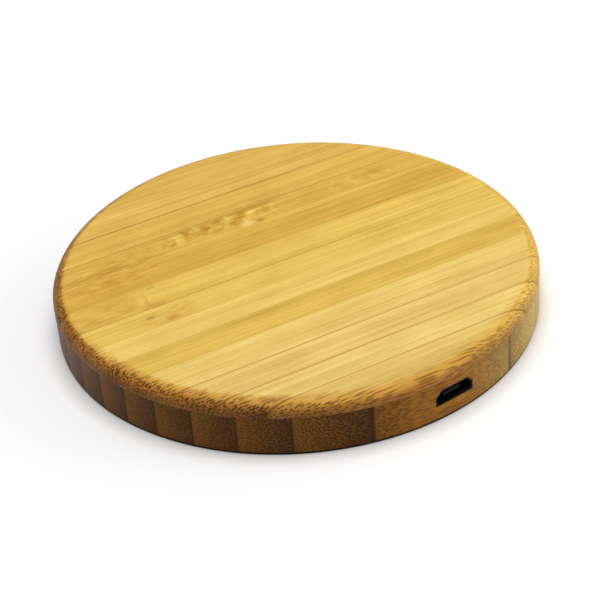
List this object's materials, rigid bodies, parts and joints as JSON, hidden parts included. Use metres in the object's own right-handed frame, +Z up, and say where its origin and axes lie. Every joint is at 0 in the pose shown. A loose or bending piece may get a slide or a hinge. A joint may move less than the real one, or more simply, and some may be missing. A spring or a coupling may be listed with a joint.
{
  "type": "wireless charging pad",
  "caption": "Round flat wireless charging pad with a laminated bamboo casing, rounded top edge, non-slip base and a small power socket in its side.",
  "frame": {"origin": "middle of the underside of the non-slip mat, on the surface that the pad stands on", "axes": "+Z up through the charging face; -Y towards the power socket in the side; +X to the right when the socket is seen from in front"},
  "size_m": [0.09, 0.09, 0.0101],
  "materials": {
    "bamboo_plate": "sanded and clear lacquered, satin",
    "bamboo_body": "sanded and clear lacquered, satin, end grain",
    "black_abs": "moulded, fine texture",
    "black_rubber": "matt, non-slip",
    "zinc_steel": "zinc plated",
    "dark_steel": "black nickel plated",
    "litz_copper": "enamelled stranded copper wire",
    "ferrite": "sintered, matt",
    "paper_tape": "double-sided tissue tape",
    "foam": "closed-cell foam",
    "board_laminate": "glass-epoxy laminate with solder mask",
    "solder": "tin solder",
    "black_nylon": "moulded",
    "contact_gold": "gold-plated copper alloy",
    "package_epoxy": "moulded epoxy",
    "chip_ceramic": "fired ceramic with tinned ends"
  },
  "bodies": {
    "root": {"top_plate": "bamboo_plate", "body_ring": "bamboo_body", "base_cover": "black_abs", "base_screws": "zinc_steel", "base_mat": "black_rubber", "coil_tape": "paper_tape", "charging_coil": "litz_copper", "inner_lead": "litz_copper", "outer_lead": "litz_copper", "coil_glue": "paper_tape", "ferrite_plate": "ferrite", "foam_spacer": "foam", "circuit_board": "board_laminate", "lead_solder": "solder", "usb_shell": "dark_steel", "usb_insulator": "black_nylon", "usb_contacts": "contact_gold", "transmitter_chip": "package_epoxy", "power_transistors": "package_epoxy", "resonant_capacitors": "chip_ceramic", "input_capacitors": "chip_ceramic", "input_inductor": "ferrite", "sense_resistor": "package_epoxy", "chip_resistors": "package_epoxy", "chip_capacitors": "chip_ceramic"}
  },
  "joints": []
}
